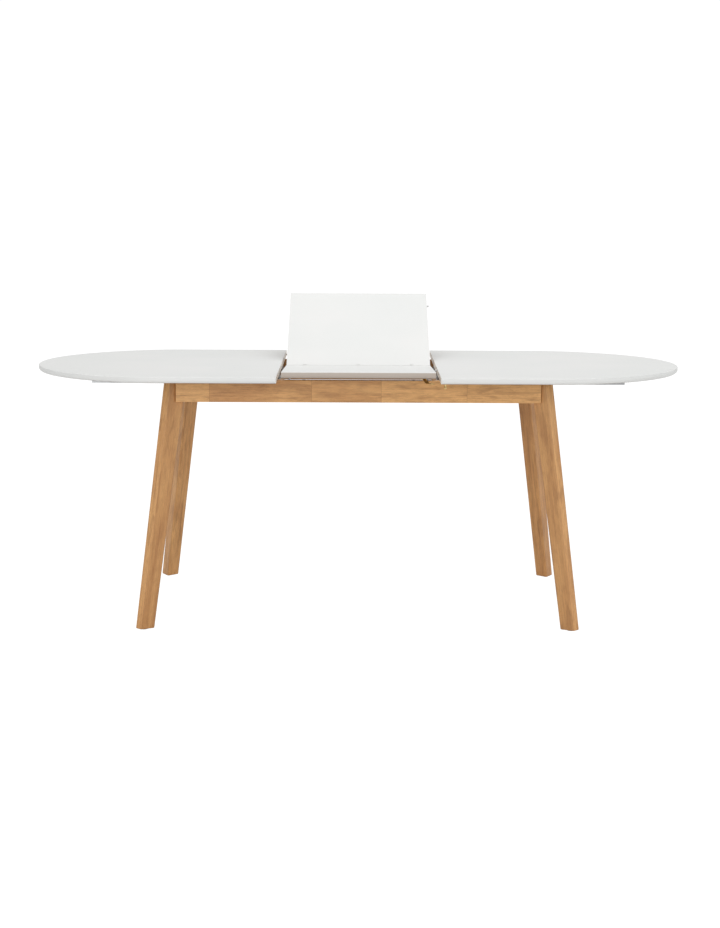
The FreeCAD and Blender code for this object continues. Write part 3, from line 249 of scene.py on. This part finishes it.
def galvanised(name):
    """Zinc-plated sheet: faint spangle and rolling streaks."""
    finish = Finish(name, Metallic=1.0)
    settings = {"feature": "F1"}
    cells = finish.add("ShaderNodeTexVoronoi", settings, {"Vector": finish.place, "Scale": 160.0}, "Color")
    spangle = finish.add("ShaderNodeSeparateColor", {}, {"Color": cells}, "Red")
    rolled = finish.noise(finish.moved(finish.place, Scale=(8.0, 300.0, 300.0)), 1.0)
    dull = finish.noise(finish.place, 26.0, detail=4.0)
    bright = finish.blend(spangle * 0.5 + rolled * 0.4, rgb(0.5, 0.51, 0.52), rgb(0.66, 0.67, 0.68))
    colour = finish.blend(dull.between(0.5, 0.75) * 0.5, bright, rgb(0.4, 0.4, 0.39))
    finish.feed(Base_Color=colour, Roughness=0.3 + spangle * 0.12 + dull * 0.14)
    finish.bump(rolled * 0.5 + spangle * 0.2, 0.00004)
    return finish.material


def bright_steel(name):
    """Turned and plated steel: fine tool marks, darker in the odd patch."""
    finish = Finish(name, Metallic=1.0)
    marks = finish.noise(finish.moved(finish.place, Scale=(900.0, 120.0, 900.0)), 1.0, detail=2.0)
    patch = finish.noise(finish.place, 90.0, detail=4.0)
    colour = finish.blend(patch.between(0.45, 0.7) * 0.7, rgb(0.6, 0.6, 0.6), rgb(0.36, 0.35, 0.33))
    finish.feed(Base_Color=colour, Roughness=0.24 + marks * 0.12 + patch * 0.12)
    finish.bump(marks, 0.00002)
    return finish.material


def brass(name):
    """Stamped brass with tarnish in patches and fine scratches."""
    finish = Finish(name, Metallic=1.0)
    tarnish = finish.noise(finish.place, 110.0, detail=5.0, roughness=0.6).between(0.45, 0.68)
    skewed = finish.moved(finish.place, Rotation=(0, 0, 0.7), Scale=(60.0, 1600.0, 1600.0))
    scratch = finish.noise(skewed, 1.0)
    colour = finish.blend(tarnish * 0.7, rgb(0.86, 0.66, 0.31), rgb(0.34, 0.22, 0.08))
    finish.feed(Base_Color=colour, Roughness=0.26 + tarnish * 0.22 + scratch * 0.1)
    finish.bump(scratch * 0.6 - tarnish * 0.3, 0.00004)
    return finish.material


def moulded(name, pale, grey, rough):
    """A moulded part: cloudy colour, fine pitted skin."""
    finish = Finish(name, IOR=1.52)
    cloud = finish.noise(finish.place, 60.0, detail=4.0)
    pits = finish.noise(finish.place, 1400.0, detail=2.0)
    finish.feed(Base_Color=finish.blend(cloud.between(0.3, 0.7), pale, grey), Roughness=rough + pits * 0.15)
    finish.bump(pits, 0.00003)
    return finish.material


PALE, WARM, DARK = rgb(0.88, 0.49, 0.185), rgb(0.62, 0.295, 0.10), rgb(0.27, 0.105, 0.03)
FRESH, TAN = rgb(0.68, 0.47, 0.27), rgb(0.58, 0.37, 0.19)
APRON_JOINTS = (-0.436, -0.137, 0.067, 0.318)
APRON_TONES = (-0.06, 0.26, 0.22, -0.3, -0.3)
SIDE_JOINTS = (-0.121, 0.164)


def leg_turn(corner):
    """The turn that lays a leg along X: from the middle of its head to the middle of its foot."""
    leg = NODES[f"leg_{corner}"]
    places = np.empty(len(leg.data.vertices) * 3)
    leg.data.vertices.foreach_get("co", places)
    places = places.reshape(-1, 3)
    foot = places[places[:, 2] < places[:, 2].min() + 0.01]
    head = places[places[:, 2] > places[:, 2].max() - 0.01]
    run = (foot.min(0) + foot.max(0) - head.min(0) - head.max(0)) / 2
    return Vector(run).rotation_difference(Vector((1, 0, 0))).to_euler()


CORNERS = ("front_left", "front_right", "rear_left", "rear_right")
quarter = math.pi / 2

white = lacquer("white_lacquer_satin")
# The front leaf half's faces that don't look up are darker and browner.
brownish_edge = lacquer("white_lacquer_thin_edge", edge=rgb(0.50, 0.43, 0.37))
# Both aprons have their inner faces painted darker: painted shade under the top.
long_cut = Timber(
    PALE, WARM, DARK, joints=APRON_JOINTS, tones=APRON_TONES, sheen=0.15,
    shaded_side=(0.0, 1.0, 0.0), painted_shade_by=0.45,
)
rear_cut = Timber(
    PALE, WARM, DARK, shift=(0.9, 0.2, 0.1), joints=sorted(-x for x in APRON_JOINTS), sheen=0.15,
    shaded_side=(0.0, -1.0, 0.0), painted_shade_by=0.45,
)
side_cut = Timber(PALE, WARM, DARK, (0, 0, -quarter), (0.4, 0.0, 0.3), joints=SIDE_JOINTS, sheen=0.15)
other_cut = Timber(PALE, WARM, DARK, (0, 0, -quarter), (1.7, 0.4, 0.0), joints=SIDE_JOINTS, sheen=0.15)
bearer_cut = Timber(FRESH, TAN, WARM, (0, 0, -quarter), (2.3, 0.1, 0.0), joints=SIDE_JOINTS, rough=0.62)
block_cut = Timber(FRESH, TAN, WARM, (0, 0, quarter / 2), (0.2, 0.6, 0.1), rough=0.62)

leaf_low, leaf_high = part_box("leaf_rear")
rise = math.atan2(leaf_high.z - leaf_low.z, leaf_high.y - leaf_low.y)
finish_of = {
    # Both halves' sawn end faces get the painted highlight.
    "top_left": lacquer("white_lacquer_left", cut=(1.0, 0.0, 0.0)),
    "top_right": lacquer("white_lacquer_right", cut=(-1.0, 0.0, 0.0)),
    "leaf_rear": lacquer("white_lacquer_leaf_rear", slope=rise),
    "leaf_front": brownish_edge,
    "apron_front": timber("wood_apron_front", long_cut),
    "apron_rear": timber("wood_apron_rear", rear_cut),
    "apron_left": timber("wood_apron_left", side_cut),
    "apron_right": timber("wood_apron_right", other_cut),
}
inner = timber("wood_bearers", bearer_cut)
blocks = timber("wood_blocks", block_cut)
for number, corner in enumerate(CORNERS):
    inward = 1.0 if "left" in corner else -1.0
    # The front legs' inner facets are painted darker: painted shade.
    leg_cut = Timber(
        PALE, WARM, DARK, leg_turn(corner), (number * 1.3, number * 0.37, 0.11), sheen=0.15,
        shaded_side=(inward * 0.7, -0.7, 0.0), painted_shade_by=0.3 if "front" in corner else 0.0,
    )
    finish_of[f"leg_{corner}"] = timber(f"wood_leg_{corner}", leg_cut)
    finish_of[f"corner_block_{corner}"] = blocks
for side in ("left", "right"):
    finish_of[f"bearer_{side}"] = inner

by_slot = {
    "white_lacquer": white,
    "white_enamel": moulded("white_enamel_paint", rgb(0.83, 0.83, 0.815), rgb(0.79, 0.79, 0.775), 0.35),
    "galvanised_steel": galvanised("zinc_sheet"),
    "bright_steel": bright_steel("plated_steel"),
    "brass": brass("stamped_brass"),
    "nylon": moulded("nylon_white", rgb(0.72, 0.71, 0.67), rgb(0.62, 0.61, 0.57), 0.4),
    "rubber": moulded("rubber_dark", rgb(0.035, 0.035, 0.035), rgb(0.06, 0.058, 0.055), 0.7),
}
slot_names = list(by_slot) + ["wood_leg", "wood_apron", "wood_inner"]
for name, piece in NODES.items():
    slot = piece.data.materials[0].name.split(".")[0]
    assert slot in slot_names, slot
    piece.data.materials[0] = finish_of.get(name) or by_slot[slot]


# ---------------------------------------------------------------- studio
WORLD_LIGHT = 0.69
FLOOR_GLOW = 1.1


def stage_floor():
    """A plain pale floor, lit a little from below like a light table so that it stays even."""
    half = 30.0
    mesh = bpy.data.meshes.new("studio_floor")
    corners = [(-half, -half, 0), (half, -half, 0), (half, half, 0), (-half, half, 0)]
    mesh.from_pydata(corners, [], [(0, 1, 2, 3)])
    floor = bpy.data.objects.new("studio_floor", mesh)
    bpy.context.scene.collection.objects.link(floor)
    paper = Finish("studio_paper", Roughness=0.9)
    paper.shader.inputs["Base Color"].default_value = rgb(0.8, 0.8, 0.8)
    seen = paper.add("ShaderNodeLightPath", {}, {}, "Is Camera Ray")
    paper.glow(seen, FLOOR_GLOW)
    mesh.materials.append(paper.material)


def soft_light(name, place, aim, size, power, tint=(1.0, 1.0, 1.0)):
    light = bpy.data.lights.new(name, "AREA")
    light.shape = "RECTANGLE"
    light.size, light.size_y = size
    light.energy = power
    light.color = tint
    lamp = bpy.data.objects.new(name, light)
    bpy.context.scene.collection.objects.link(lamp)
    direction = Vector(aim) - Vector(place)
    lamp.matrix_world = Matrix.Translation(place) @ direction.to_track_quat("-Z", "Y").to_matrix().to_4x4()


def studio_world():
    """White all round: full white where it is seen, softer where it lights the table."""
    world = bpy.data.worlds.new("studio")
    world.use_nodes = True
    tree = world.node_tree
    sky = tree.nodes["Background"]
    sky.inputs["Color"].default_value = rgb(1.0, 1.0, 1.0)
    seen = tree.nodes.new("ShaderNodeLightPath")
    strength = tree.nodes.new("ShaderNodeMapRange")
    strength.inputs["To Min"].default_value = WORLD_LIGHT
    strength.inputs["To Max"].default_value = 1.05
    tree.links.new(seen.outputs["Is Camera Ray"], strength.inputs["Value"])
    tree.links.new(strength.outputs["Result"], sky.inputs["Strength"])
    bpy.context.scene.world = world
    bpy.context.scene.view_settings.view_transform = "Standard"


def camera():
    """Straight in front, a little above the table top, looking slightly down."""
    lens = bpy.data.cameras.new("camera")
    lens.lens = 75.98
    lens.sensor_width = 36.0
    lens.clip_end = 100.0
    eye = bpy.data.objects.new("camera", lens)
    bpy.context.scene.collection.objects.link(eye)
    yaw, pitch, roll = -0.00275, 0.14752, 0.00435
    level = Matrix.Rotation(math.pi / 2 - pitch, 4, "X")
    turn = Matrix.Rotation(yaw, 4, "Z") @ level @ Matrix.Rotation(roll, 4, "Z")
    eye.matrix_world = Matrix.Translation((-0.01018, -6.03126, 1.33095)) @ turn
    bpy.context.scene.camera = eye


stage_floor()
studio_world()
soft_light("overhead", (0.3, 0.3, 3.4), (0, 0, 0.7), (4.4, 3.0), 34.0)
soft_light("front", (-1.6, -5.0, 1.5), (0, 0, 0.6), (3.0, 2.0), 46.0)
soft_light("right", (4.6, -2.2, 1.5), (0, 0, 0.6), (2.4, 2.0), 24.0)
camera()
